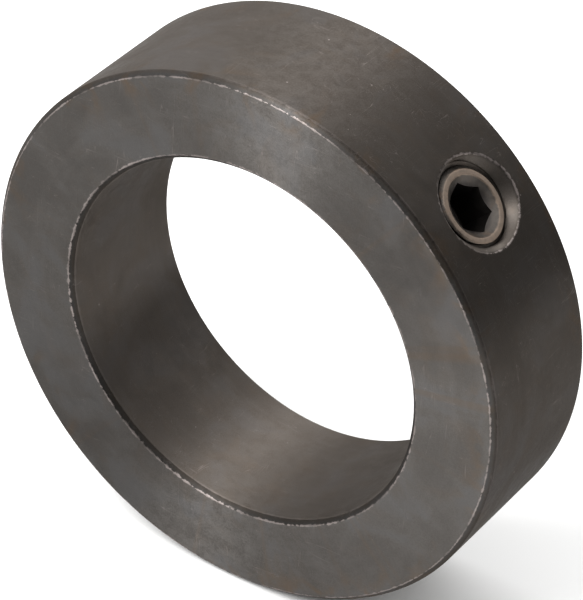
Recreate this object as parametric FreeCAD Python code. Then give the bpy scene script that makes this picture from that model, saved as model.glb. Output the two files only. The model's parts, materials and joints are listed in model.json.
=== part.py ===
"""Solid set-screw shaft collar for a 2-3/16 in shaft.

Two pieces: a turned steel ring, and a hex-socket cup-point set screw in a radial tapped hole
through its wall. Units are millimetres.

Frame: the origin is the centre of the bore at mid-width, Y runs along the bore from the front
face (-Y) to the back face (+Y), and Z is up. The screw's axis lies in the XZ plane.

The screw is written as two nodes, its plain cup point and its threaded body. A screw turns as
it travels, and each of the two motions needs a body of its own.
"""
import FreeCAD
import Part

import math
import os

from FreeCAD import Vector

INCH = 25.4

# Ring
bore_diameter = (2 + 3 / 16) * INCH
outer_diameter = 81.5  # 3-1/4 in bar after turning
ring_width = 23.4  # 15/16 in after facing
outer_chamfer = 0.70
bore_chamfer = 0.70

# Thread shared by the hole and the screw: 1/2-13 UNC, right-hand
thread_diameter = (1 / 2) * INCH
thread_pitch = INCH / 13
thread_angle = 60.0
thread_clearance = 0.20  # radial gap between the two threads, half of it taken from each
thread_phase = 0.22  # where the screw's groove crosses the XZ plane's +X side, as a share of a pitch

# Hole
screw_clock_angle = 45.0  # from +X towards +Z
countersink_diameter = 14.7  # across the cone at the height of the ring's crown
countersink_angle = 90.0
countersink_offset = 0.40  # how far its centre lies from the hole's towards the back face

# Screw
screw_length = 11.9
point_standback = 0.10  # how far the point stops short of the shaft
point_angle = 90.0
point_length = 1.75
cup_web = 0.28  # left between the bottom of the cup and the threaded body
cup_rim_land = 0.15
split_inset = 0.15  # how far inside the thread's root the point ends and the threaded body starts
top_face_inset = 0.04  # how far inside the thread's root the flat of the top ends
top_chamfer_angle = 90.0

# Hex socket in the screw's top
hex_across_flats = (1 / 4) * INCH
hex_clock_angle = -7.0  # from the tangential direction, anticlockwise seen from outside
socket_land = 0.65  # width of the flat ring left round the socket's mouth
socket_mouth_angle = 105.0
socket_depth = 6.4
socket_drill_diameter = 6.1
socket_drill_angle = 118.0

overrun = 3.0  # how far a cutting tool runs past the surface that it cuts

# Worked out from the sizes above. Heights are distances from the bore's axis.
bore_radius = bore_diameter / 2
outer_radius = outer_diameter / 2
half_width = ring_width / 2
flank_slope = math.tan(math.radians(thread_angle / 2))
sharp_height = thread_pitch / (2 * flank_slope)
thread_depth = 5 / 8 * sharp_height
crest_radius = thread_diameter / 2
root_radius = crest_radius - thread_depth
screw_crest_radius = crest_radius - thread_clearance / 2
screw_root_radius = root_radius - thread_clearance / 2
hole_root_radius = crest_radius + thread_clearance / 2
hole_crest_radius = root_radius + thread_clearance / 2
point_slope = math.tan(math.radians(point_angle / 2))
point_height = bore_radius + point_standback
split_radius = screw_root_radius - split_inset
split_height = point_height + point_length
cup_rim_radius = split_radius - point_length * point_slope
top_height = point_height + screw_length
top_face_radius = screw_root_radius - top_face_inset
socket_mouth_radius = top_face_radius - socket_land


def profile_face(points):
    """A flat face in the XZ plane with (radius, height) corners."""
    corners = [Vector(radius, 0, height) for radius, height in points]
    return Part.Face(Part.makePolygon(corners + corners[:1]))


def turned(points):
    """The solid of revolution of (radius, height) corners about the Z axis."""
    return profile_face(points).revolve(Vector(0, 0, 0), Vector(0, 0, 1), 360)


def cone_rise(radius, included_angle):
    """The height of a cone of that radius, from its apex to its base."""
    return radius / math.tan(math.radians(included_angle / 2))


def thread_groove(flat_radius, flat_width, open_radius, bottom, top, phase):
    """The helical body that cuts a right-hand thread between two heights on the Z axis.

    The groove has a flat of flat_width at flat_radius and widens at the thread's angle to
    open_radius. Its middle is at height 0 plus the phase, a share of one pitch, on the XZ plane.
    """
    start = (math.floor(bottom / thread_pitch) + phase) * thread_pitch
    half_flat = flat_width / 2
    half_open = half_flat + abs(open_radius - flat_radius) * flank_slope
    section = Part.makePolygon(
        [
            Vector(flat_radius, 0, start - half_flat),
            Vector(flat_radius, 0, start + half_flat),
            Vector(open_radius, 0, start + half_open),
            Vector(open_radius, 0, start - half_open),
            Vector(flat_radius, 0, start - half_flat),
        ]
    )
    path = Part.makeHelix(thread_pitch, top - start, crest_radius)
    path.translate(Vector(0, 0, start))
    groove = Part.Wire(path.Edges).makePipeShell([section], True, True)
    if groove.Volume < 0:
        groove.reverse()
    return groove


def on_screw_axis(shape):
    """The shape, moved from the Z axis to the screw's axis."""
    placed = shape.copy()
    placed.rotate(Vector(0, 0, 0), Vector(0, 1, 0), 90 - screw_clock_angle)
    return placed


def ring_blank():
    """The turned ring, with its four edges broken, before the hole is tapped."""
    blank = turned(
        [
            (bore_radius, half_width - bore_chamfer),
            (bore_radius + bore_chamfer, half_width),
            (outer_radius - outer_chamfer, half_width),
            (outer_radius, half_width - outer_chamfer),
            (outer_radius, outer_chamfer - half_width),
            (outer_radius - outer_chamfer, -half_width),
            (bore_radius + bore_chamfer, -half_width),
            (bore_radius, bore_chamfer - half_width),
        ]
    )
    blank.rotate(Vector(0, 0, 0), Vector(1, 0, 0), 90)
    return blank


def collar_ring():
    """The ring with its countersunk and tapped screw hole."""
    bottom = math.sqrt(bore_radius**2 - hole_root_radius**2) - overrun
    top = outer_radius + overrun
    drill = Part.makeCylinder(hole_crest_radius, top - bottom, Vector(0, 0, bottom))
    apex = outer_radius - cone_rise(countersink_diameter / 2, countersink_angle)
    slope = math.tan(math.radians(countersink_angle / 2))
    countersink = turned([(0, apex), ((top - apex) * slope, top), (0, top)])
    countersink.translate(Vector(0, countersink_offset, 0))
    # the groove opens a little inside the hole's wall, short of where its turns would meet
    open_radius = hole_crest_radius - thread_clearance
    groove = thread_groove(
        hole_root_radius, thread_pitch / 8, open_radius, bottom, top, phase=thread_phase + 0.5
    )
    ring = ring_blank()
    # the groove goes first, because it is sounder cut from the solid wall than from the hole's
    for tool in (groove, drill, countersink):
        ring = ring.cut(on_screw_axis(tool))
    return ring


def set_screw_cup_point():
    """The screw's plain end below its thread, hollowed to a cup that bites the shaft."""
    return on_screw_axis(
        turned(
            [
                (0, split_height - cup_web),
                (cup_rim_radius - cup_rim_land, point_height),
                (cup_rim_radius, point_height),
                (split_radius, split_height),
                (0, split_height),
            ]
        )
    )


def hex_socket():
    """The body that cuts the socket: its mouth cone, its hexagon and the drill's point."""
    floor = top_height - socket_depth
    corner_radius = hex_across_flats / 2 / math.cos(math.radians(30))
    corners = [
        Vector(
            corner_radius * math.cos(math.radians(60 * i + hex_clock_angle)),
            corner_radius * math.sin(math.radians(60 * i + hex_clock_angle)),
            floor,
        )
        for i in range(6)
    ]
    hexagon = Part.Face(Part.makePolygon(corners + corners[:1]))
    prism = hexagon.extrude(Vector(0, 0, socket_depth + overrun))
    drill_radius = socket_drill_diameter / 2
    drill_point = turned(
        [(0, floor - cone_rise(drill_radius, socket_drill_angle)), (drill_radius, floor), (0, floor)]
    )
    apex = top_height - cone_rise(socket_mouth_radius, socket_mouth_angle)
    slope = math.tan(math.radians(socket_mouth_angle / 2))
    end = top_height + overrun
    mouth = turned([(0, apex), ((end - apex) * slope, end), (0, end)])
    return prism.fuse([drill_point, mouth])


def set_screw():
    """The screw's threaded body with its hex socket."""
    top_slope = math.tan(math.radians(top_chamfer_angle / 2))
    open_radius = screw_crest_radius + thread_clearance
    bottom = split_height - overrun
    top = top_height + overrun
    groove = thread_groove(
        screw_root_radius, thread_pitch / 4, open_radius, bottom, top, phase=thread_phase
    )
    rod = Part.makeCylinder(screw_crest_radius, top - bottom + 2 * overrun, Vector(0, 0, bottom - overrun))
    outline = turned(
        [
            (0, split_height),
            (split_radius, split_height),
            (open_radius, split_height + (open_radius - split_radius) / point_slope),
            (open_radius, top_height - (open_radius - top_face_radius) / top_slope),
            (top_face_radius, top_height),
            (0, top_height),
        ]
    )
    # the rod is threaded before its ends are shaped, so that the groove meets no other edge
    return on_screw_axis(rod.cut(groove).common(outline).cut(hex_socket()))


def export(name, shape):
    """Writes one node, and stops if it isn't one sound solid."""
    if not shape.isValid() or len(shape.Solids) != 1:
        raise ValueError(f"{name} is not one sound solid")
    solid = shape.Solids[0]
    solid.exportStep(f"parts/{name}.step")
    print(f"{name}: {solid.Volume:.1f} mm3, {len(solid.Faces)} faces")


def main():
    os.makedirs("parts", exist_ok=True)
    export("collar_ring", collar_ring())
    export("set_screw_cup_point", set_screw_cup_point())
    export("set_screw", set_screw())


main()
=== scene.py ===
import json
import math

import bmesh
import bpy
import numpy as np
from mathutils import Matrix, Vector


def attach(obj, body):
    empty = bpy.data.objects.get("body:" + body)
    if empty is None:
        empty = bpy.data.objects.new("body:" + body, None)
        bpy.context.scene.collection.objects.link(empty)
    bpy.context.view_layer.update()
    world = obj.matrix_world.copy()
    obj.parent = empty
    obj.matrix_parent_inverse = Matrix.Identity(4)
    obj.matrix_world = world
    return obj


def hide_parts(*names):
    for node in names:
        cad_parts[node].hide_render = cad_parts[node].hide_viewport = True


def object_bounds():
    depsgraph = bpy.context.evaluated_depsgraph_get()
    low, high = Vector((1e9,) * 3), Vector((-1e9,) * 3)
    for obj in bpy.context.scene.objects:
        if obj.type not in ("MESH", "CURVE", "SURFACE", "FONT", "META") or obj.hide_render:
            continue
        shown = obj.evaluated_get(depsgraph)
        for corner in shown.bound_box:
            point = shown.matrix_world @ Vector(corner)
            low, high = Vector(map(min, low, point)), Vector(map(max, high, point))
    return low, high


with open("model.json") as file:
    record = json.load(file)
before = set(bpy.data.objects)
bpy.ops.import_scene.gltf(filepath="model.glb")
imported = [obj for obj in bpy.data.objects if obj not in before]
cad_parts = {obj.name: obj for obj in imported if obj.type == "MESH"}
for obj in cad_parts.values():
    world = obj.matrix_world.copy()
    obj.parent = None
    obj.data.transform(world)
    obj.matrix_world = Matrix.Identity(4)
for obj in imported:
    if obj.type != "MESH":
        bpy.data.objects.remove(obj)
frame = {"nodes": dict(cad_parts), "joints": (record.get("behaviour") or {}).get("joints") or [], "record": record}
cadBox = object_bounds()
record = frame["record"]
print("frame loaded:", sorted(frame["nodes"]))

mm = 0.001
fullTurn = 2 * math.pi
mounts = {m["name"]: m for m in record["mounts"]}
joints = {j["name"]: j for j in frame["joints"]}
travelPerRadian = record["behaviour"]["couplings"][0]["ratio"]

# The screw's own directions: outward along its axis, and the two across it
screwOut = Vector(joints["screw_turn"]["axis"]).normalized()
screwAxial = Vector((0, 1, 0))
screwSide = screwAxial.cross(screwOut)
screwFrame = np.array([screwSide, screwAxial, screwOut])


# Mesh helpers. A sheet is a grid of points, rows by columns, and its faces are four-sided, each
# between neighbours.

joinWithin = 0.0003 * mm
sharpAngle = 32


def gridSheet(points):
    rows, columns = points.shape[:2]
    index = np.arange(rows * columns).reshape(rows, columns)
    faces = np.stack([index[:-1, :-1], index[:-1, 1:], index[1:, 1:], index[1:, :-1]], -1)
    return points.reshape(-1, 3), faces.reshape(-1, 4)


def closedRows(points):
    # repeats the first column after the last, so that each row closes on itself
    return np.concatenate([points, points[:, :1]], axis=1)


def meshPiece(name, sheets, material, body, node):
    # sheets that share an edge are joined there, and all faces are turned outwards
    points = np.concatenate([p for p, f in sheets])
    starts = np.cumsum([0] + [len(p) for p, f in sheets[:-1]])
    faces = np.concatenate([f + start for (p, f), start in zip(sheets, starts)])
    mesh = bpy.data.meshes.new(name)
    mesh.vertices.add(len(points))
    mesh.vertices.foreach_set("co", points.ravel())
    mesh.loops.add(faces.size)
    mesh.loops.foreach_set("vertex_index", faces.ravel())
    mesh.polygons.add(len(faces))
    mesh.polygons.foreach_set("loop_start", np.arange(0, faces.size, 4))
    mesh.update(calc_edges=True)
    work = bmesh.new()
    work.from_mesh(mesh)
    bmesh.ops.remove_doubles(work, verts=work.verts, dist=joinWithin)
    bmesh.ops.recalc_face_normals(work, faces=work.faces)
    openEdges = sum(1 for e in work.edges if not e.is_manifold)
    work.to_mesh(mesh)
    volume = work.calc_volume()
    work.free()
    mesh.polygons.foreach_set("use_smooth", np.ones(len(mesh.polygons), dtype=bool))
    mesh.set_sharp_from_angle(angle=math.radians(sharpAngle))
    mesh.materials.append(material)
    piece = bpy.data.objects.new(name, mesh)
    bpy.context.scene.collection.objects.link(piece)
    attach(piece, body)
    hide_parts(node)
    triangles = sum(len(p.vertices) - 2 for p in mesh.polygons)
    print(f"{name}: {triangles} triangles, {openEdges} open edges, {volume / mm ** 3:.1f} mm3")
    return piece


def roundedCorner(before, corner, after, steps):
    # a quadratic curve from before to after that the corner pulls towards itself
    t = np.linspace(0, 1, steps + 1)[:, None, None]
    return (1 - t) ** 2 * before + 2 * t * (1 - t) * corner + t ** 2 * after


# Sizes that the ring and the screw share

thread = {
    "pitch": travelPerRadian * fullTurn,
    "phase": 0.22,
    "angle": 60,
    "diameter": 12.7 * mm,
    "clearance": 0.20 * mm,
    "depthShare": 5 / 8,
    "easing": 0.05 * mm,
    "rows": np.array([0, 0.07, 0.105, 0.125, 0.145, 0.18, 0.24, 0.30, 0.36, 0.41, 0.4375, 0.465]),
}
thread["rows"] = np.concatenate([thread["rows"], [0.5], 1 - thread["rows"][:0:-1]])

# the depth is a share of the height of the thread's sharp triangle, and the radial clearance is
# shared evenly between the hole and the screw
sharpHeight = thread["pitch"] / (2 * math.tan(math.radians(thread["angle"] / 2)))
thread["holeRoot"] = (thread["diameter"] + thread["clearance"]) / 2
thread["screwCrest"] = (thread["diameter"] - thread["clearance"]) / 2
thread["holeCrest"] = thread["holeRoot"] - thread["depthShare"] * sharpHeight
thread["screwRoot"] = thread["screwCrest"] - thread["depthShare"] * sharpHeight


def threadRadius(angles, heights, low, high):
    # the distance along the axis from the nearest groove's middle sets the radius: flat at the
    # low radius for an eighth of the pitch each side, then up a straight flank to the high one.
    # Three readings a little apart are averaged, which eases the corners.
    slope = math.tan(math.radians(thread["angle"] / 2))
    total = 0
    for shift in (-thread["easing"], 0, thread["easing"]):
        turns = (heights + shift) / thread["pitch"] - angles / fullTurn - thread["phase"]
        offset = np.abs((turns + 0.5) % 1 - 0.5) * thread["pitch"]
        total = total + np.clip(low + (offset - thread["pitch"] / 8) / slope, low, high)
    return total / 3


def threadedSheet(angles, low, high, radiusAt):
    # each row follows the helix, height = pitch x (turn + share + angle / full turn), held
    # between the low and high edges, so that rows lie along the thread's own corners
    pitch = thread["pitch"]
    closed = np.append(angles, angles[0] + fullTurn)
    low = np.append(low, low[0])
    high = np.append(high, high[0])
    first = math.floor(low.min() / pitch) - 2
    turns = np.arange(first, math.ceil(high.max() / pitch) + 1)
    shares = (turns[:, None] + thread["rows"][None, :] + thread["phase"]).ravel()
    heights = np.clip(pitch * (shares[:, None] + closed / fullTurn), low, high)
    return gridSheet(aroundScrew(radiusAt(closed, heights), closed, heights))


def aroundScrew(radius, angle, height):
    # polar coordinates about the screw's axis, turned into the row frame
    radius, angle, height = np.broadcast_arrays(radius, angle, height)
    local = np.stack([radius * np.cos(angle), radius * np.sin(angle), height], -1)
    return local @ screwFrame


ring = {
    "boreRadius": mounts["bore"]["dims"]["r_mm"] * mm,
    "outerRadius": cadBox[1].x,
    "halfWidth": cadBox[1].y,
    "outerChamfer": 0.70 * mm,
    "boreChamfer": 0.70 * mm,
    "countersinkRadius": 7.35 * mm,
    "countersinkSlope": 1.0,
    "countersinkOffset": 0.40 * mm,
    "edge": 0.14 * mm,
    "lipEdge": 0.16 * mm,
    "columns": 480,
    "patchColumns": 44,
    "wallRuns": 32,
    "faceRuns": 10,
    "chamferRuns": 2,
    "cornerSteps": 4,
    "lipSteps": 4,
    "mouthSteps": 3,
    "patchRows": 9,
    "patchEasing": 1.4,
    "lipGuess": 0.5 * mm,
    "mouthGuess": 0.3 * mm,
    "meetTries": 80,
}


def ringOutline():
    # the ring's section as (radius, along the bore) points, with the runs of its two walls
    r, w = ring["outerRadius"], ring["halfWidth"]
    b, co, cb = ring["boreRadius"], ring["outerChamfer"], ring["boreChamfer"]
    corners = np.array([(r, co - w), (r, w - co), (r - co, w), (b + cb, w),
                        (b, w - cb), (b, cb - w), (b + cb, -w), (r - co, -w)])
    runs = [ring["wallRuns"], ring["chamferRuns"], ring["faceRuns"], ring["chamferRuns"]] * 2
    points, starts = [], []
    for i, (corner, count) in enumerate(zip(corners, runs)):
        following = corners[(i + 1) % 8]
        afterNext = corners[(i + 2) % 8]
        ahead = (following - corner) / np.linalg.norm(following - corner)
        onward = (afterNext - following) / np.linalg.norm(afterNext - following)
        end = following - ahead * ring["edge"]
        starts.append(sum(len(p) for p in points))
        points.append(np.linspace(corner + ahead * ring["edge"], end, count + 1))
        bend = roundedCorner(end, following, following + onward * ring["edge"], ring["cornerSteps"])
        points.append(bend[1:-1, 0])
    return np.concatenate(points), starts[0], starts[4]


def wallPoint(radius, angle, along):
    radius, angle, along = np.broadcast_arrays(radius, angle, along)
    return np.stack([radius * np.cos(angle), along, radius * np.sin(angle)], -1)


def onWall(wallRadius, side, along):
    # the point of a round wall that lies at those two distances from the screw's axis
    height = np.sqrt(wallRadius ** 2 - side ** 2)
    return np.stack([side, along, height], -1) @ screwFrame


def onWallRound(wallRadius, radius, angles):
    # the point of a round wall over a circle about the screw's axis
    return onWall(wallRadius, radius * np.cos(angles), radius * np.sin(angles))


def holeRadius(angles, heights):
    # the larger of the tapped thread's radius and the countersink's cone. The cone is a circle
    # whose centre is offset along the bore: e sin(angle) + root of (radius^2 - (e cos(angle))^2).
    cone = ring["countersinkRadius"] - (ring["outerRadius"] - heights) * ring["countersinkSlope"]
    offset = ring["countersinkOffset"]
    reach = np.sqrt(np.maximum(np.maximum(cone, 0) ** 2 - (offset * np.cos(angles)) ** 2, 0))
    threaded = threadRadius(angles, heights, thread["holeCrest"], thread["holeRoot"])
    return np.maximum(threaded, offset * np.sin(angles) + reach)


def meetWall(angles, wallRadius, height):
    # where the hole's surface meets a round wall: the height is set halfway to the one that the
    # hole's radius gives, and the radius from that height, until both settle
    heights = np.full_like(angles, height)
    for _ in range(ring["meetTries"]):
        side = holeRadius(angles, heights) * np.cos(angles)
        heights = heights + 0.5 * (np.sqrt(wallRadius ** 2 - side ** 2) - heights)
    return heights


def wallPatch(angles, rimRadius, wallRadius, rimPoints):
    # straight lines on the unrolled wall, from the rounded edge of the hole out to the grid
    local = rimPoints @ screwFrame.T
    rimTurn = np.arctan2(local[:, 0], local[:, 2])
    holeSide, holeAlong = rimRadius * np.cos(angles), rimRadius * np.sin(angles)
    holeTurn = np.arcsin(holeSide / wallRadius)
    t = (np.linspace(0, 1, ring["patchRows"]) ** ring["patchEasing"])[:, None]
    side = np.sin(holeTurn + t * (rimTurn - holeTurn)) * wallRadius
    along = holeAlong + t * (local[:, 1] - holeAlong)
    rows = onWall(wallRadius, side, along)
    rows[-1] = rimPoints
    return rows


def ringSheets():
    outline, outerRow, boreRow = ringOutline()
    count, columns = len(outline), ring["columns"]
    turns = np.arange(columns) * fullTurn / columns
    grid = wallPoint(outline[:, 0][:, None], turns, outline[:, 1][:, None])
    screwColumn = round(math.atan2(screwOut.z, screwOut.x) / fullTurn * columns)
    left = screwColumn - ring["patchColumns"] // 2
    right = left + ring["patchColumns"]
    # faces of the turned surface, all but the two windows that the hole's patches fill
    row, column = np.meshgrid(np.arange(count), np.arange(columns), indexing="ij")
    inSector = (column >= left) & (column < right)
    inWall = np.zeros_like(inSector)
    for start in (outerRow, boreRow):
        inWall |= (row >= start) & (row < start + ring["wallRuns"])
    keep = ~(inSector & inWall)
    row, column = row[keep], column[keep]
    nextRow, nextColumn = (row + 1) % count, (column + 1) % columns
    faces = np.stack([row * columns + column, row * columns + nextColumn,
                      nextRow * columns + nextColumn, nextRow * columns + column], -1)
    sheets = [(grid.reshape(-1, 3), faces)]

    def window(start, flip):
        # the grid's points round one window, in the same turning direction for both walls
        rows = np.arange(start, start + ring["wallRuns"] + 1)
        if flip:
            rows = rows[::-1]
        low, high = rows[0], rows[-1]
        across = np.arange(left, right)
        path = [(low, c) for c in across[::-1] + 1] + [(r, left) for r in rows[:-1]]
        path += [(high, c) for c in across] + [(r, right) for r in rows[:0:-1]]
        return grid[tuple(np.array(path).T)]

    outerRim, boreRim = window(outerRow, False), window(boreRow, True)
    local = outerRim @ screwFrame.T
    angles = np.unwrap(np.arctan2(local[:, 1], local[:, 0]))
    if angles[-1] < angles[0]:
        angles, outerRim, boreRim = angles[::-1], outerRim[::-1], boreRim[::-1]
    edge, outer, bore = ring["lipEdge"], ring["outerRadius"], ring["boreRadius"]
    lipHeight = meetWall(angles, outer, outer - ring["lipGuess"])
    lipRadius = holeRadius(angles, lipHeight)
    topHeight = lipHeight - edge
    mouthHeight = meetWall(angles, bore, bore - ring["mouthGuess"])
    mouthRadius = holeRadius(angles, mouthHeight)
    lowHeight = mouthHeight + edge
    lip = roundedCorner(
        aroundScrew(holeRadius(angles, topHeight), angles, topHeight),
        aroundScrew(lipRadius, angles, lipHeight),
        onWallRound(outer, lipRadius + edge, angles), ring["lipSteps"])
    mouth = roundedCorner(
        aroundScrew(holeRadius(angles, lowHeight), angles, lowHeight),
        aroundScrew(mouthRadius, angles, mouthHeight),
        onWallRound(bore, mouthRadius + edge, angles), ring["mouthSteps"])
    outerPatch = wallPatch(angles, lipRadius + edge, outer, outerRim)
    borePatch = wallPatch(angles, mouthRadius + edge, bore, boreRim)
    sheets += [gridSheet(closedRows(rows)) for rows in (lip, mouth, outerPatch, borePatch)]
    sheets.append(threadedSheet(angles, lowHeight, topHeight, holeRadius))
    return sheets


screw = {
    "standback": 0.10 * mm,
    "length": 11.9 * mm,
    "pointLength": 1.75 * mm,
    "cupWeb": 0.28 * mm,
    "cupRimLand": 0.15 * mm,
    "splitInset": 0.15 * mm,
    "topInset": 0.04 * mm,
    "land": 0.65 * mm,
    "mouthAngle": 105,
    "acrossFlats": 6.35 * mm,
    "hexTurn": -7.0,
    "socketDepth": 6.4 * mm,
    "drillRadius": 3.05 * mm,
    "drillAngle": 118,
    "edge": 0.07 * mm,
    "edgeSteps": 3,
    "socketRows": 9,
    "cupShares": (0, 0.25, 0.5, 0.75, 1),
    "pointStep": 0.3 * mm,
    "columns": 192,
}
screw["splitRadius"] = thread["screwRoot"] - screw["splitInset"]
screw["topRadius"] = thread["screwRoot"] - screw["topInset"]
screw["pointHeight"] = ring["boreRadius"] + screw["standback"]
screw["splitHeight"] = screw["pointHeight"] + screw["pointLength"]
screw["topHeight"] = screw["pointHeight"] + screw["length"]


def screwAngles():
    # starts on a corner of the hexagon, so that all six corners fall on columns
    steps = np.arange(screw["columns"]) * fullTurn / screw["columns"]
    return math.radians(screw["hexTurn"]) + steps


def screwRadius(angles, heights):
    # the thread's radius, held inside the 45 degree cones at the point and at the top
    pointCone = screw["splitRadius"] + (heights - screw["splitHeight"])
    topCone = screw["topRadius"] + (screw["topHeight"] - heights)
    radius = threadRadius(angles, heights, thread["screwRoot"], thread["screwCrest"])
    return np.minimum(radius, np.minimum(pointCone, topCone))


def turnedRows(profile, angles):
    # one row of columns round the axis for each (radius, height) of the profile
    rows = [aroundScrew(radius, angles, np.full_like(angles, height)) for radius, height in profile]
    return np.stack(rows)


def screwBodySheets():
    angles = screwAngles()
    flat = np.ones_like(angles)
    top, edge = screw["topHeight"], screw["edge"]
    mouthRadius = screw["topRadius"] - screw["land"]
    split = screw["splitHeight"]
    body = threadedSheet(angles, split * flat, (top - edge) * flat, screwRadius)
    heel = turnedRows([(0, split), (screw["splitRadius"], split)], angles)
    shoulder = roundedCorner(
        aroundScrew(screwRadius(angles, top - edge), angles, top - edge),
        aroundScrew(screw["topRadius"], angles, top),
        aroundScrew(screw["topRadius"] - edge, angles, top), screw["edgeSteps"])
    mouthSlope = math.tan(math.radians(screw["mouthAngle"] / 2))
    rim = roundedCorner(
        aroundScrew(mouthRadius + edge, angles, top),
        aroundScrew(mouthRadius, angles, top),
        aroundScrew(mouthRadius - edge, angles, top - edge / mouthSlope), screw["edgeSteps"])
    # the hexagon's radius: half the flats over the cosine of the turn from the middle of a flat
    turn = (angles - math.radians(screw["hexTurn"])) % (fullTurn / 6) - fullTurn / 12
    hexRadius = screw["acrossFlats"] / 2 / np.cos(turn)
    share = np.linspace(0, 1, screw["socketRows"])[:, None]
    coneRadius = (mouthRadius - edge) + share * (hexRadius - mouthRadius + edge)
    cone = aroundScrew(coneRadius, angles, top - (mouthRadius - coneRadius) / mouthSlope)
    hexTop = top - (mouthRadius - hexRadius) / mouthSlope
    floor = top - screw["socketDepth"]
    walls = aroundScrew(hexRadius, angles, hexTop + share * (floor - hexTop))
    drillRise = screw["drillRadius"] / math.tan(math.radians(screw["drillAngle"] / 2))
    bottom = turnedRows([(screw["drillRadius"], floor), (0, floor - drillRise)], angles)
    ledge = np.stack([walls[-1], bottom[0]])
    rows = [heel, shoulder, np.stack([shoulder[-1], rim[0]]), rim, cone, walls, ledge, bottom]
    return [body] + [gridSheet(closedRows(r)) for r in rows]


def screwPointSheets():
    angles = screwAngles()
    low, split = screw["pointHeight"], screw["splitHeight"]
    rimRadius = screw["splitRadius"] - screw["pointLength"]
    cupRadius = rimRadius - screw["cupRimLand"]
    web, step = split - screw["cupWeb"], screw["pointStep"]
    profile = [(cupRadius * share, web + (low - web) * share) for share in screw["cupShares"]]
    profile += [(rimRadius, low), (rimRadius + step, low + step)]
    profile += [(screw["splitRadius"], split), (0, split)]
    return [gridSheet(closedRows(turnedRows(profile, angles)))]


# Materials. Every pattern reads Object coordinates, taken to millimetres.

def put(tree, kind, inputs=None, **settings):
    # a node with its settings, each input fed by a socket or set to a plain value
    node = tree.nodes.new("ShaderNode" + kind)
    for key, value in settings.items():
        setattr(node, key, value)
    for key, value in (inputs or {}).items():
        if isinstance(value, bpy.types.NodeSocket):
            tree.links.new(value, node.inputs[key])
        else:
            node.inputs[key].default_value = value
    return node


def calc(tree, operation, *values):
    return put(tree, "Math", dict(enumerate(values)), operation=operation).outputs[0]


def chain(tree, operation, values):
    total = values[0]
    for value in values[1:]:
        total = calc(tree, operation, total, value)
    return total


def plus(tree, *values):
    return chain(tree, "ADD", values)


def minus(tree, first, second):
    return calc(tree, "SUBTRACT", first, second)


def times(tree, *values):
    return chain(tree, "MULTIPLY", values)


def over(tree, first, second):
    return calc(tree, "DIVIDE", first, second)


def larger(tree, *values):
    return chain(tree, "MAXIMUM", values)


def smaller(tree, first, second):
    return calc(tree, "MINIMUM", first, second)


def distance(tree, first, second):
    return calc(tree, "ABSOLUTE", minus(tree, first, second))


def scaled(tree, vector, factor):
    return put(tree, "VectorMath", {0: vector, 3: factor}, operation="SCALE").outputs[0]


def weighted(tree, sources, weights):
    # the sum of the named sources, each times its weight
    return plus(tree, *[times(tree, sources[name], weight) for name, weight in weights.items()])


def noise(tree, vector, scale, detail=3, roughness=0.5, distortion=0):
    values = {"Vector": vector, "Scale": scale, "Detail": detail,
              "Roughness": roughness, "Distortion": distortion}
    return put(tree, "TexNoise", values).outputs["Fac"]


def ramp(tree, value, low, high, start=0.0, end=1.0, kind="SMOOTHSTEP"):
    # goes from start to end as the value goes from low to high
    values = {"Value": value, "From Min": low, "From Max": high, "To Min": start, "To Max": end}
    return put(tree, "MapRange", values, interpolation_type=kind).outputs[0]


def blend(tree, share, first, second):
    node = put(tree, "Mix", {0: share}, data_type="RGBA")
    for index, colour in ((6, first), (7, second)):
        if isinstance(colour, bpy.types.NodeSocket):
            tree.links.new(colour, node.inputs[index])
        else:
            node.inputs[index].default_value = (*colour, 1)
    return node.outputs[2]


def newGroup(name, inputs, outputs):
    tree = bpy.data.node_groups.new(name, "ShaderNodeTree")
    for label, kind in inputs.items():
        tree.interface.new_socket(name=label, in_out="INPUT", socket_type="NodeSocket" + kind)
    for label in outputs:
        tree.interface.new_socket(name=label, in_out="OUTPUT", socket_type="NodeSocketFloat")
    given = tree.nodes.new("NodeGroupInput")
    result = tree.nodes.new("NodeGroupOutput")
    return tree, given.outputs, result.inputs


def useGroup(tree, group, **inputs):
    node = put(tree, "Group", node_tree=group)
    for key, value in inputs.items():
        if isinstance(value, bpy.types.NodeSocket):
            tree.links.new(value, node.inputs[key])
        else:
            node.inputs[key].default_value = value
    return node.outputs


# For each output: the noise's scale, detail, roughness and distortion, then the two noise values
# that become 0 and 1
cloudNoise = {
    "Cloud": (0.10, 3, 0.55, 0.6, 0.32, 0.68),
    "Mottle": (0.55, 5, 0.62, 0.4, 0.30, 0.70),
    "Stain": (0.16, 4, 0.60, 0.9, 0.50, 0.72),
    "Grain": (4.5, 2, 0.60, 0.0, 0.30, 0.70),
}
stainShift = (17.0, 5.0, 31.0)


def buildOxideClouds():
    # broad clouds, finer mottling, a sparse stain and a grain, from noise at four sizes
    inputs = {"Point": "Vector", "Scale": "Float"}
    tree, given, result = newGroup("oxideClouds", inputs, list(cloudNoise))
    shifted = put(tree, "VectorMath", {0: given["Point"], 1: stainShift}, operation="ADD").outputs[0]
    for label, (size, detail, roughness, distortion, low, high) in cloudNoise.items():
        place = shifted if label == "Stain" else given["Point"]
        pattern = noise(tree, place, times(tree, given["Scale"], size), detail, roughness, distortion)
        tree.links.new(ramp(tree, pattern, low, high), result[label])
    return tree


scratchMarks = {
    "runs": [(0.5, (2.2, 2.2, 0.10)), (2.2, (0.12, 2.0, 2.0)), (1.3, (1.9, 0.11, 1.9))],
    "scale": 0.55,
    "wobble": 0.25,
    "gateScale": 0.21,
    "gateScaleByTurn": 0.04,
    "gateFrom": (0.50, 0.64),
}


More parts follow.
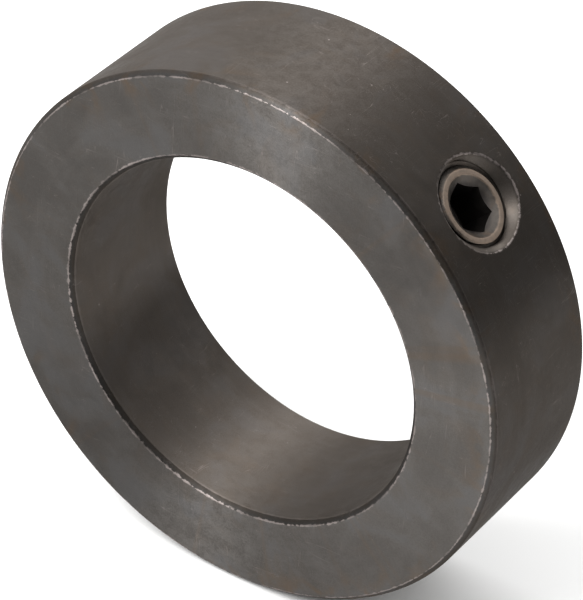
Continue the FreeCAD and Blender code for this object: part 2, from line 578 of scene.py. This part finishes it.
def buildFineScratches():
    # noise stretched along one direction, its narrow middle band kept and then broken up
    inputs = {"Point": "Vector", "Width": "Float", "Amount": "Float"}
    tree, given, result = newGroup("fineScratches", inputs, ["Mask"])
    marks = scratchMarks
    lines = []
    for turn, stretch in marks["runs"]:
        rotation = (turn, turn * 0.7, turn * 1.3)
        placed = put(tree, "Mapping", {"Vector": given["Point"], "Rotation": rotation, "Scale": stretch})
        pattern = noise(tree, placed.outputs[0], marks["scale"], 1, 0.4, marks["wobble"])
        line = ramp(tree, distance(tree, pattern, 0.5), 0.0, given["Width"], 1, 0)
        gateScale = marks["gateScale"] + marks["gateScaleByTurn"] * turn
        gate = ramp(tree, noise(tree, given["Point"], gateScale, 2, 0.5), *marks["gateFrom"])
        lines.append(times(tree, line, gate))
    tree.links.new(times(tree, larger(tree, *lines), given["Amount"]), result["Mask"])
    return tree


speckSize = 0.17
speckCore = 0.4


def buildSpecks():
    # small round marks: one in some of the cells of a Voronoi pattern, of uneven size
    inputs = {"Point": "Vector", "Scale": "Float", "Share": "Float"}
    tree, given, result = newGroup("specks", inputs, ["Mask"])
    cells = put(tree, "TexVoronoi", {"Vector": given["Point"], "Scale": given["Scale"]}, feature="F1")
    chance = put(tree, "SeparateColor", {0: cells.outputs["Color"]}).outputs
    size = times(tree, chance[1], speckSize)
    spot = ramp(tree, cells.outputs["Distance"], times(tree, size, speckCore), size, 1, 0)
    there = calc(tree, "LESS_THAN", chance[0], given["Share"])
    tree.links.new(times(tree, spot, there), result["Mask"])
    return tree


wearNoise = {
    "fineScale": 1.4,
    "broadScale": 0.16,
    "swing": 4.0,
    "leastReach": 0.01,
    "fullUntil": 0.25,
    "broadFrom": (0.30, 0.60),
    "broadLeast": 0.25,
}


def buildEdgeWear():
    # strong at an edge and gone a width away, where noise makes the width and strength uneven
    inputs = {"Point": "Vector", "Distance": "Float", "Width": "Float", "Unevenness": "Float"}
    tree, given, result = newGroup("edgeWear", inputs, ["Mask"])
    wear = wearNoise
    fine = noise(tree, given["Point"], wear["fineScale"], 4, 0.65)
    broad = noise(tree, given["Point"], wear["broadScale"], 2, 0.5)
    wander = times(tree, minus(tree, fine, 0.5), given["Unevenness"], wear["swing"])
    reach = times(tree, given["Width"], plus(tree, 1.0, wander))
    share = over(tree, given["Distance"], larger(tree, reach, wear["leastReach"]))
    mask = ramp(tree, share, wear["fullUntil"], 1.0, 1, 0)
    strength = ramp(tree, broad, *wear["broadFrom"], wear["broadLeast"], 1)
    tree.links.new(times(tree, mask, strength), result["Mask"])
    return tree


lineNoise = {"aroundScale": 0.35, "bandScale": 0.13}


def buildTurningMarks():
    # fine lines round an axis: noise of (radius + height) that hardly changes with the turn
    inputs = {"Radius": "Float", "Height": "Float", "Around": "Vector", "Pitch": "Float"}
    tree, given, result = newGroup("turningMarks", inputs, ["Lines", "Bands"])
    slow = scaled(tree, given["Around"], lineNoise["aroundScale"])
    parts = put(tree, "SeparateXYZ", {0: slow}).outputs
    across = over(tree, plus(tree, given["Radius"], given["Height"]), given["Pitch"])
    place = put(tree, "CombineXYZ", {0: across, 1: parts[0], 2: parts[1]}).outputs[0]
    tree.links.new(noise(tree, place, 1.0, 3, 0.7), result["Lines"])
    tree.links.new(noise(tree, place, lineNoise["bandScale"], 2, 0.5), result["Bands"])
    return tree


oxideClouds = buildOxideClouds()
fineScratches = buildFineScratches()
specks = buildSpecks()
edgeWear = buildEdgeWear()
turningMarks = buildTurningMarks()


def newMaterial(name, finish):
    material = bpy.data.materials.new(name)
    material.use_nodes = True
    tree = material.node_tree
    shader = tree.nodes["Principled BSDF"]
    for label, value in finish.items():
        shader.inputs[label].default_value = value
    point = scaled(tree, put(tree, "TexCoord").outputs["Object"], 1 / mm)
    return material, tree, shader, point


def distanceAlong(tree, point, direction):
    # how far the point lies along a direction
    settings = {0: point, 1: tuple(direction)}
    return put(tree, "VectorMath", settings, operation="DOT_PRODUCT").outputs["Value"]


def length(tree, first, second):
    # the root of the sum of two squares
    return calc(tree, "SQRT", plus(tree, times(tree, first, first), times(tree, second, second)))


def toCorner(tree, radius, height, corner):
    return length(tree, minus(tree, radius, corner[0]), minus(tree, height, corner[1]))


def wearAt(tree, point, gap, amounts):
    return useGroup(tree, edgeWear, Point=point, Distance=gap, **amounts)["Mask"]


def surfacePatterns(tree, point, radius, height, first, second, look):
    # every pattern that both steels share, under its own name
    parts = {0: over(tree, first, radius), 1: over(tree, second, radius)}
    around = put(tree, "CombineXYZ", parts).outputs[0]
    clouds = useGroup(tree, oxideClouds, Point=point, Scale=look["cloudScale"])
    marks = useGroup(tree, turningMarks, Radius=radius, Height=height, Around=around,
                     Pitch=look["markPitch"])
    patterns = {socket.name: socket for socket in (*clouds, *marks)}
    patterns["scratches"] = useGroup(tree, fineScratches, Point=point, **look["scratches"])["Mask"]
    patterns["spots"] = useGroup(tree, specks, Point=point, **look["specks"])["Mask"]
    return patterns, around


def addRelief(tree, shader, relief, depth):
    bump = put(tree, "Bump", {"Height": relief, "Distance": depth, "Strength": 1.0})
    tree.links.new(bump.outputs[0], shader.inputs["Normal"])


# Distances and widths are in millimetres. A pair ending in From gives where an effect starts and
# where it is complete.
ringLook = {
    "finish": {"Metallic": 1.0, "Anisotropic": 0.88, "Anisotropic Rotation": 0.25,
               "Specular Tint": (0.60, 0.60, 0.60, 1.0)},
    "dark": (0.073, 0.067, 0.062),
    "pale": (0.106, 0.099, 0.093),
    "brown": (0.108, 0.077, 0.053),
    "blue": (0.084, 0.088, 0.096),
    "bare": (0.34, 0.295, 0.28),
    "cloudScale": 1.0,
    "toneWeights": {"Cloud": 0.35, "Mottle": 0.60, "Bands": 0.50, "Grain": 0.55},
    "toneShift": -0.525,
    "blueFrom": (0.55, 0.95),
    "blueShare": 0.22,
    "nearEdgeFrom": (4.5, 0.3),
    "stainShare": 0.12,
    "stainNearEdge": 0.50,
    "wallBrown": 0.22,
    "spokeScale": 9.0,
    "spokeFrom": (0.58, 0.72),
    "spokeShare": 0.30,
    "cutFrom": (0.10, 0.02),
    "cutTone": 0.62,
    "mouthTone": 0.42,
    "mouthFrom": (0.05, 0.12),
    # painted shade on the outer wall: how its side leans, where it starts and how dark it gets
    "paintedShadeLean": 0.55,
    "wallPaintedShadeFrom": (0.15, 1.0),
    "wallPaintedShade": 0.46,
    "wallShare": 0.6,
    "sideFrom": (0.2, 0.5),
    "faceDepth": 0.3,
    # painted light on the faces, growing towards +X
    "facePaintedLight": 0.18,
    "edgeWear": {"Width": 0.15, "Unevenness": 1.6},
    "mouthWear": {"Width": 0.20, "Unevenness": 1.8},
    "softWear": {"Width": 0.22, "Unevenness": 1.2},
    "softShare": 0.15,
    "scratches": {"Width": 0.006, "Amount": 0.55},
    "specks": {"Scale": 0.75, "Share": 0.07},
    "brightest": {"worn": 0.55, "scratches": 0.30, "spots": 0.35},
    "roughWeights": {"Mottle": 0.60, "Cloud": -0.30, "Grain": 0.35},
    "roughFrom": (-0.1, 0.8),
    "roughness": (0.41, 0.60),
    "smootherWorn": 0.08,
    "rougherBore": 0.07,
    "markPitch": 0.16,
    "reliefWeights": {"Lines": 0.8, "Grain": 0.8, "scratches": -0.8, "spots": -1.5},
    "markDepth": 0.0000035,
}


def lipGap(tree, point, radius, y, outer):
    # distance to the hole's lip: from the countersink's 45 degree cone and from the outer wall.
    # The far side of the ring, where the cone's mirror image would fall, is put out of reach.
    out = distanceAlong(tree, point, screwOut)
    offCentre = minus(tree, y, ring["countersinkOffset"] / mm)
    reach = length(tree, distanceAlong(tree, point, screwSide), offCentre)
    cone = minus(tree, reach, ring["countersinkRadius"] / mm - outer)
    coneGap = times(tree, minus(tree, cone, out), math.sqrt(0.5))
    behind = calc(tree, "LESS_THAN", out, 0.0)
    return plus(tree, length(tree, coneGap, minus(tree, radius, outer)), times(tree, behind, 99.0))


def ringSteel():
    look = ringLook
    material, tree, shader, point = newMaterial("blackOxideSteel", look["finish"])
    x, y, z = put(tree, "SeparateXYZ", {0: point}).outputs
    radius = length(tree, x, z)
    height = calc(tree, "ABSOLUTE", y)
    patterns, around = surfacePatterns(tree, point, radius, y, x, z, look)

    # distances to the four kinds of edge and to the hole's lip, and the wear that they get
    outer, bore, wide = ring["outerRadius"] / mm, ring["boreRadius"] / mm, ring["halfWidth"] / mm
    outerCut, boreCut = ring["outerChamfer"] / mm, ring["boreChamfer"] / mm
    faceRim = toCorner(tree, radius, height, (outer - outerCut, wide))
    wallRim = toCorner(tree, radius, height, (outer, wide - outerCut))
    faceMouth = toCorner(tree, radius, height, (bore + boreCut, wide))
    wallMouth = toCorner(tree, radius, height, (bore, wide - boreCut))
    rimGap = smaller(tree, faceRim, lipGap(tree, point, radius, y, outer))
    edges = wearAt(tree, point, rimGap, look["edgeWear"])
    mouthEdge = wearAt(tree, point, faceMouth, look["mouthWear"])
    wallEdges = wearAt(tree, point, smaller(tree, wallRim, wallMouth), look["softWear"])
    worn = larger(tree, edges, mouthEdge, times(tree, wallEdges, look["softShare"]))

    # where each surface is: the two walls, the two chamfers and the faces
    depth = minus(tree, wide, height)
    wallDepth = outerCut * look["wallShare"]
    atWall = ramp(tree, minus(tree, outer, radius), 0.0, wallDepth, 1, 0)
    atBore = ramp(tree, minus(tree, radius, bore), 0.0, boreCut * look["wallShare"], 1, 0)
    cut = calc(tree, "ABSOLUTE", plus(tree, minus(tree, outer - outerCut, radius), depth))
    onCut = ramp(tree, cut, *look["cutFrom"])
    mouthCut = calc(tree, "ABSOLUTE", plus(tree, minus(tree, radius, bore + boreCut), depth))
    pastBore = ramp(tree, minus(tree, radius, bore), *look["mouthFrom"])
    onMouth = times(tree, ramp(tree, mouthCut, *look["cutFrom"]), pastBore)
    onSide = ramp(tree, depth, *look["sideFrom"])
    onFace = ramp(tree, depth, look["faceDepth"], 0.0)

    # brown gathers beside the outer edges, on the walls and in runs that spread out from the
    # bore over the faces, and blue in the densest clouds
    nearEdge = ramp(tree, smaller(tree, faceRim, wallRim), *look["nearEdgeFrom"])
    stainShare = plus(tree, look["stainShare"], times(tree, nearEdge, look["stainNearEdge"]))
    spokes = noise(tree, scaled(tree, around, look["spokeScale"]), 1.0, 3, 0.6)
    runs = times(tree, ramp(tree, spokes, *look["spokeFrom"]), minus(tree, 1.0, onSide))
    brownShare = plus(tree, times(tree, patterns["Stain"], stainShare),
                      times(tree, onSide, look["wallBrown"]),
                      times(tree, runs, look["spokeShare"]))
    blueShare = times(tree, ramp(tree, patterns["Cloud"], *look["blueFrom"]), look["blueShare"])
    tone = plus(tree, weighted(tree, patterns, look["toneWeights"]), look["toneShift"])
    colour = blend(tree, tone, look["dark"], look["pale"])
    colour = blend(tree, blueShare, colour, look["blue"])
    colour = blend(tree, brownShare, colour, look["brown"])

    # the outer wall gets painted shade on the +X side below the screw, a painted reflection of shaded
    # floor; the faces get painted light towards +X; and the chamfers are darker than the faces
    turned = over(tree, plus(tree, x, times(tree, z, look["paintedShadeLean"])), radius)
    # painted shade on the outer wall, darkest towards +X below the screw
    paintedWallShade = times(tree, ramp(tree, turned, *look["wallPaintedShadeFrom"]), atWall, look["wallPaintedShade"])
    # painted light: the faces are made paler towards +X
    paintedFaceLight = times(tree, over(tree, x, radius), look["facePaintedLight"], onFace)
    shade = times(tree, minus(tree, 1.0, paintedWallShade), plus(tree, 1.0, paintedFaceLight),
                  ramp(tree, onCut, 0.0, 1.0, 1.0, look["cutTone"]),
                  ramp(tree, onMouth, 0.0, 1.0, 1.0, look["mouthTone"]))
    colour = scaled(tree, colour, shade)
    bare = {"worn": worn, "scratches": patterns["scratches"], "spots": patterns["spots"]}
    shares = [times(tree, bare[name], weight) for name, weight in look["brightest"].items()]
    colour = blend(tree, larger(tree, *shares), colour, look["bare"])
    tree.links.new(colour, shader.inputs["Base Color"])

    rough = weighted(tree, patterns, look["roughWeights"])
    rough = ramp(tree, rough, *look["roughFrom"], *look["roughness"], kind="LINEAR")
    rough = minus(tree, rough, times(tree, worn, look["smootherWorn"]))
    rough = plus(tree, rough, times(tree, atBore, look["rougherBore"]))
    tree.links.new(rough, shader.inputs["Roughness"])
    addRelief(tree, shader, weighted(tree, patterns, look["reliefWeights"]), look["markDepth"])
    tangent = put(tree, "Tangent", direction_type="RADIAL", axis="Y")
    tree.links.new(tangent.outputs[0], shader.inputs["Tangent"])
    return material


screwLook = {
    "finish": {"Metallic": 1.0, "Specular Tint": (0.45, 0.45, 0.45, 1.0)},
    "dark": (0.060, 0.054, 0.049),
    "pale": (0.105, 0.094, 0.084),
    "tan": (0.235, 0.180, 0.140),
    "brown": (0.110, 0.074, 0.052),
    "socket": (0.050, 0.045, 0.042),
    "cloudScale": 2.5,
    "toneWeights": {"Cloud": 0.45, "Mottle": 0.45},
    "stainShare": 0.5,
    "topFrom": (0.16, 0.03),
    "topShare": 0.62,
    "socketFrom": (0.5, 0.9),
    "rimWear": {"Width": 0.34, "Unevenness": 0.8},
    "mouthWear": {"Width": 0.30, "Unevenness": 0.8},
    "crestWear": {"Width": 0.14, "Unevenness": 1.2},
    "crestShare": 0.4,
    "wornTan": 0.8,
    "scratchTan": 0.3,
    "tanFrom": (0.0, 0.7),
    "tanLeast": 0.7,
    "scratches": {"Width": 0.010, "Amount": 0.3},
    "specks": {"Scale": 1.1, "Share": 0.10},
    "roughWeights": {"Mottle": 0.6, "Grain": 0.4},
    "roughFrom": (0.1, 0.9),
    "roughness": (0.38, 0.52),
    "smootherWorn": 0.06,
    "markPitch": 0.12,
    "reliefWeights": {"Lines": 0.9, "Grain": 0.9, "spots": -1.5},
    "markDepth": 0.000003,
}


def screwSteel():
    look = screwLook
    material, tree, shader, point = newMaterial("screwOxideSteel", look["finish"])
    y = put(tree, "SeparateXYZ", {0: point}).outputs[1]
    side = distanceAlong(tree, point, screwSide)
    out = distanceAlong(tree, point, screwOut)
    radius = length(tree, side, y)
    patterns = surfacePatterns(tree, point, radius, out, side, y, look)[0]

    # the flat ring round the socket is rubbed to a paler tan, most of all at its two edges
    top, flatEdge = screw["topHeight"] / mm, screw["topRadius"] / mm
    mouth = flatEdge - screw["land"] / mm
    depth = minus(tree, top, out)
    atTop = ramp(tree, depth, *look["topFrom"])
    rimWear = wearAt(tree, point, toCorner(tree, radius, out, (flatEdge, top)), look["rimWear"])
    mouthWear = wearAt(tree, point, toCorner(tree, radius, out, (mouth, top)), look["mouthWear"])
    crestGap = minus(tree, thread["screwCrest"] / mm, radius)
    crestWear = wearAt(tree, point, crestGap, look["crestWear"])
    worn = larger(tree, rimWear, mouthWear, times(tree, crestWear, look["crestShare"]))
    inSocket = times(tree, ramp(tree, minus(tree, mouth, radius), *look["socketFrom"]),
                     ramp(tree, depth, *look["socketFrom"]))

    colour = blend(tree, weighted(tree, patterns, look["toneWeights"]), look["dark"], look["pale"])
    colour = blend(tree, times(tree, patterns["Stain"], look["stainShare"]), colour, look["brown"])
    colour = blend(tree, inSocket, colour, look["socket"])
    tanShare = larger(tree, times(tree, atTop, look["topShare"]), times(tree, worn, look["wornTan"]),
                      times(tree, patterns["scratches"], look["scratchTan"]))
    patchy = ramp(tree, patterns["Mottle"], *look["tanFrom"], look["tanLeast"], 1)
    colour = blend(tree, times(tree, tanShare, patchy), colour, look["tan"])
    tree.links.new(colour, shader.inputs["Base Color"])

    rough = weighted(tree, patterns, look["roughWeights"])
    rough = ramp(tree, rough, *look["roughFrom"], *look["roughness"])
    rough = minus(tree, rough, times(tree, worn, look["smootherWorn"]))
    tree.links.new(rough, shader.inputs["Roughness"])
    addRelief(tree, shader, weighted(tree, patterns, look["reliefWeights"]), look["markDepth"])
    return material


ringMaterial = ringSteel()
screwMaterial = screwSteel()

ringPiece = meshPiece("collarRing", ringSheets(), ringMaterial, "collar", "collar_ring")
pointPiece = meshPiece("setScrewCupPoint", screwPointSheets(), screwMaterial, "screw_point",
                       "set_screw_cup_point")
bodyPiece = meshPiece("setScrewBody", screwBodySheets(), screwMaterial, "screw_body", "set_screw")

stage = {
    "floorSize": 3.0,
    "floorColour": (0.87, 0.87, 0.865),
    "floorRoughness": 0.9,
    "skyDim": 0.06,
    "skyBright": 1.9,
    "skyTowards": (-0.62, 0.50, 0.60),
    "skyFrom": (-0.8, 1.0),
    "keyFrom": (-0.25, -0.60, 0.74),
    "keyDistance": 0.80,
    "keySize": (0.34, 0.50),
    "keyPower": 6.8,
}


def buildStage():
    half = stage["floorSize"] / 2
    mesh = bpy.data.meshes.new("floor")
    z = -ring["outerRadius"]
    corners = [(-half, -half, z), (half, -half, z), (half, half, z), (-half, half, z)]
    mesh.from_pydata(corners, [], [(0, 1, 2, 3)])
    material = bpy.data.materials.new("paleFloor")
    material.use_nodes = True
    shader = material.node_tree.nodes["Principled BSDF"]
    shader.inputs["Base Color"].default_value = (*stage["floorColour"], 1)
    shader.inputs["Roughness"].default_value = stage["floorRoughness"]
    mesh.materials.append(material)
    floor = bpy.data.objects.new("floor", mesh)
    bpy.context.scene.collection.objects.link(floor)
    # the air is brightest towards one side and eases to its dimmest on the other
    world = bpy.data.worlds.new("studioAir")
    world.use_nodes = True
    tree = world.node_tree
    towards = Vector(stage["skyTowards"]).normalized()
    direction = put(tree, "TexCoord").outputs["Generated"]
    share = distanceAlong(tree, direction, towards)
    strength = ramp(tree, share, *stage["skyFrom"], stage["skyDim"], stage["skyBright"])
    tree.links.new(strength, tree.nodes["Background"].inputs["Strength"])
    tree.nodes["Background"].inputs["Color"].default_value = (1, 1, 1, 1)
    bpy.context.scene.world = world
    light = bpy.data.lights.new("keyLight", "AREA")
    light.shape = "RECTANGLE"
    light.size, light.size_y = stage["keySize"]
    light.energy = stage["keyPower"]
    key = bpy.data.objects.new("keyLight", light)
    towards = Vector(stage["keyFrom"]).normalized()
    key.location = towards * stage["keyDistance"]
    key.rotation_mode = "QUATERNION"
    key.rotation_quaternion = towards.to_track_quat("Z", "Y")
    bpy.context.scene.collection.objects.link(key)


camera = {
    "azimuth": 32.065,
    "elevation": 35.784,
    "roll": 3.090,
    "distance": 0.51572,
    "lens": 224.74,
    "sensor": 36,
    "shift": (0.01020, 0.00674),
    "clip": (0.02, 10),
}


def buildCamera():
    azimuth, elevation = math.radians(camera["azimuth"]), math.radians(camera["elevation"])
    reach = math.cos(elevation)
    back = Vector((math.sin(azimuth) * reach, -math.cos(azimuth) * reach, math.sin(elevation)))
    level = Vector((math.cos(azimuth), math.sin(azimuth), 0))
    turned = Matrix.Rotation(math.radians(camera["roll"]), 3, back)
    right = turned @ level
    up = back.cross(right)
    data = bpy.data.cameras.new("camera")
    data.sensor_width = camera["sensor"]
    data.lens = camera["lens"]
    data.shift_x, data.shift_y = camera["shift"]
    data.clip_start, data.clip_end = camera["clip"]
    view = bpy.data.objects.new("camera", data)
    view.matrix_world = Matrix((right, up, back)).transposed().to_4x4()
    view.location = back * camera["distance"]
    bpy.context.scene.collection.objects.link(view)
    bpy.context.scene.camera = view


buildStage()
buildCamera()
bpy.context.scene.view_settings.view_transform = "Standard"
print("stage, lights and camera placed")
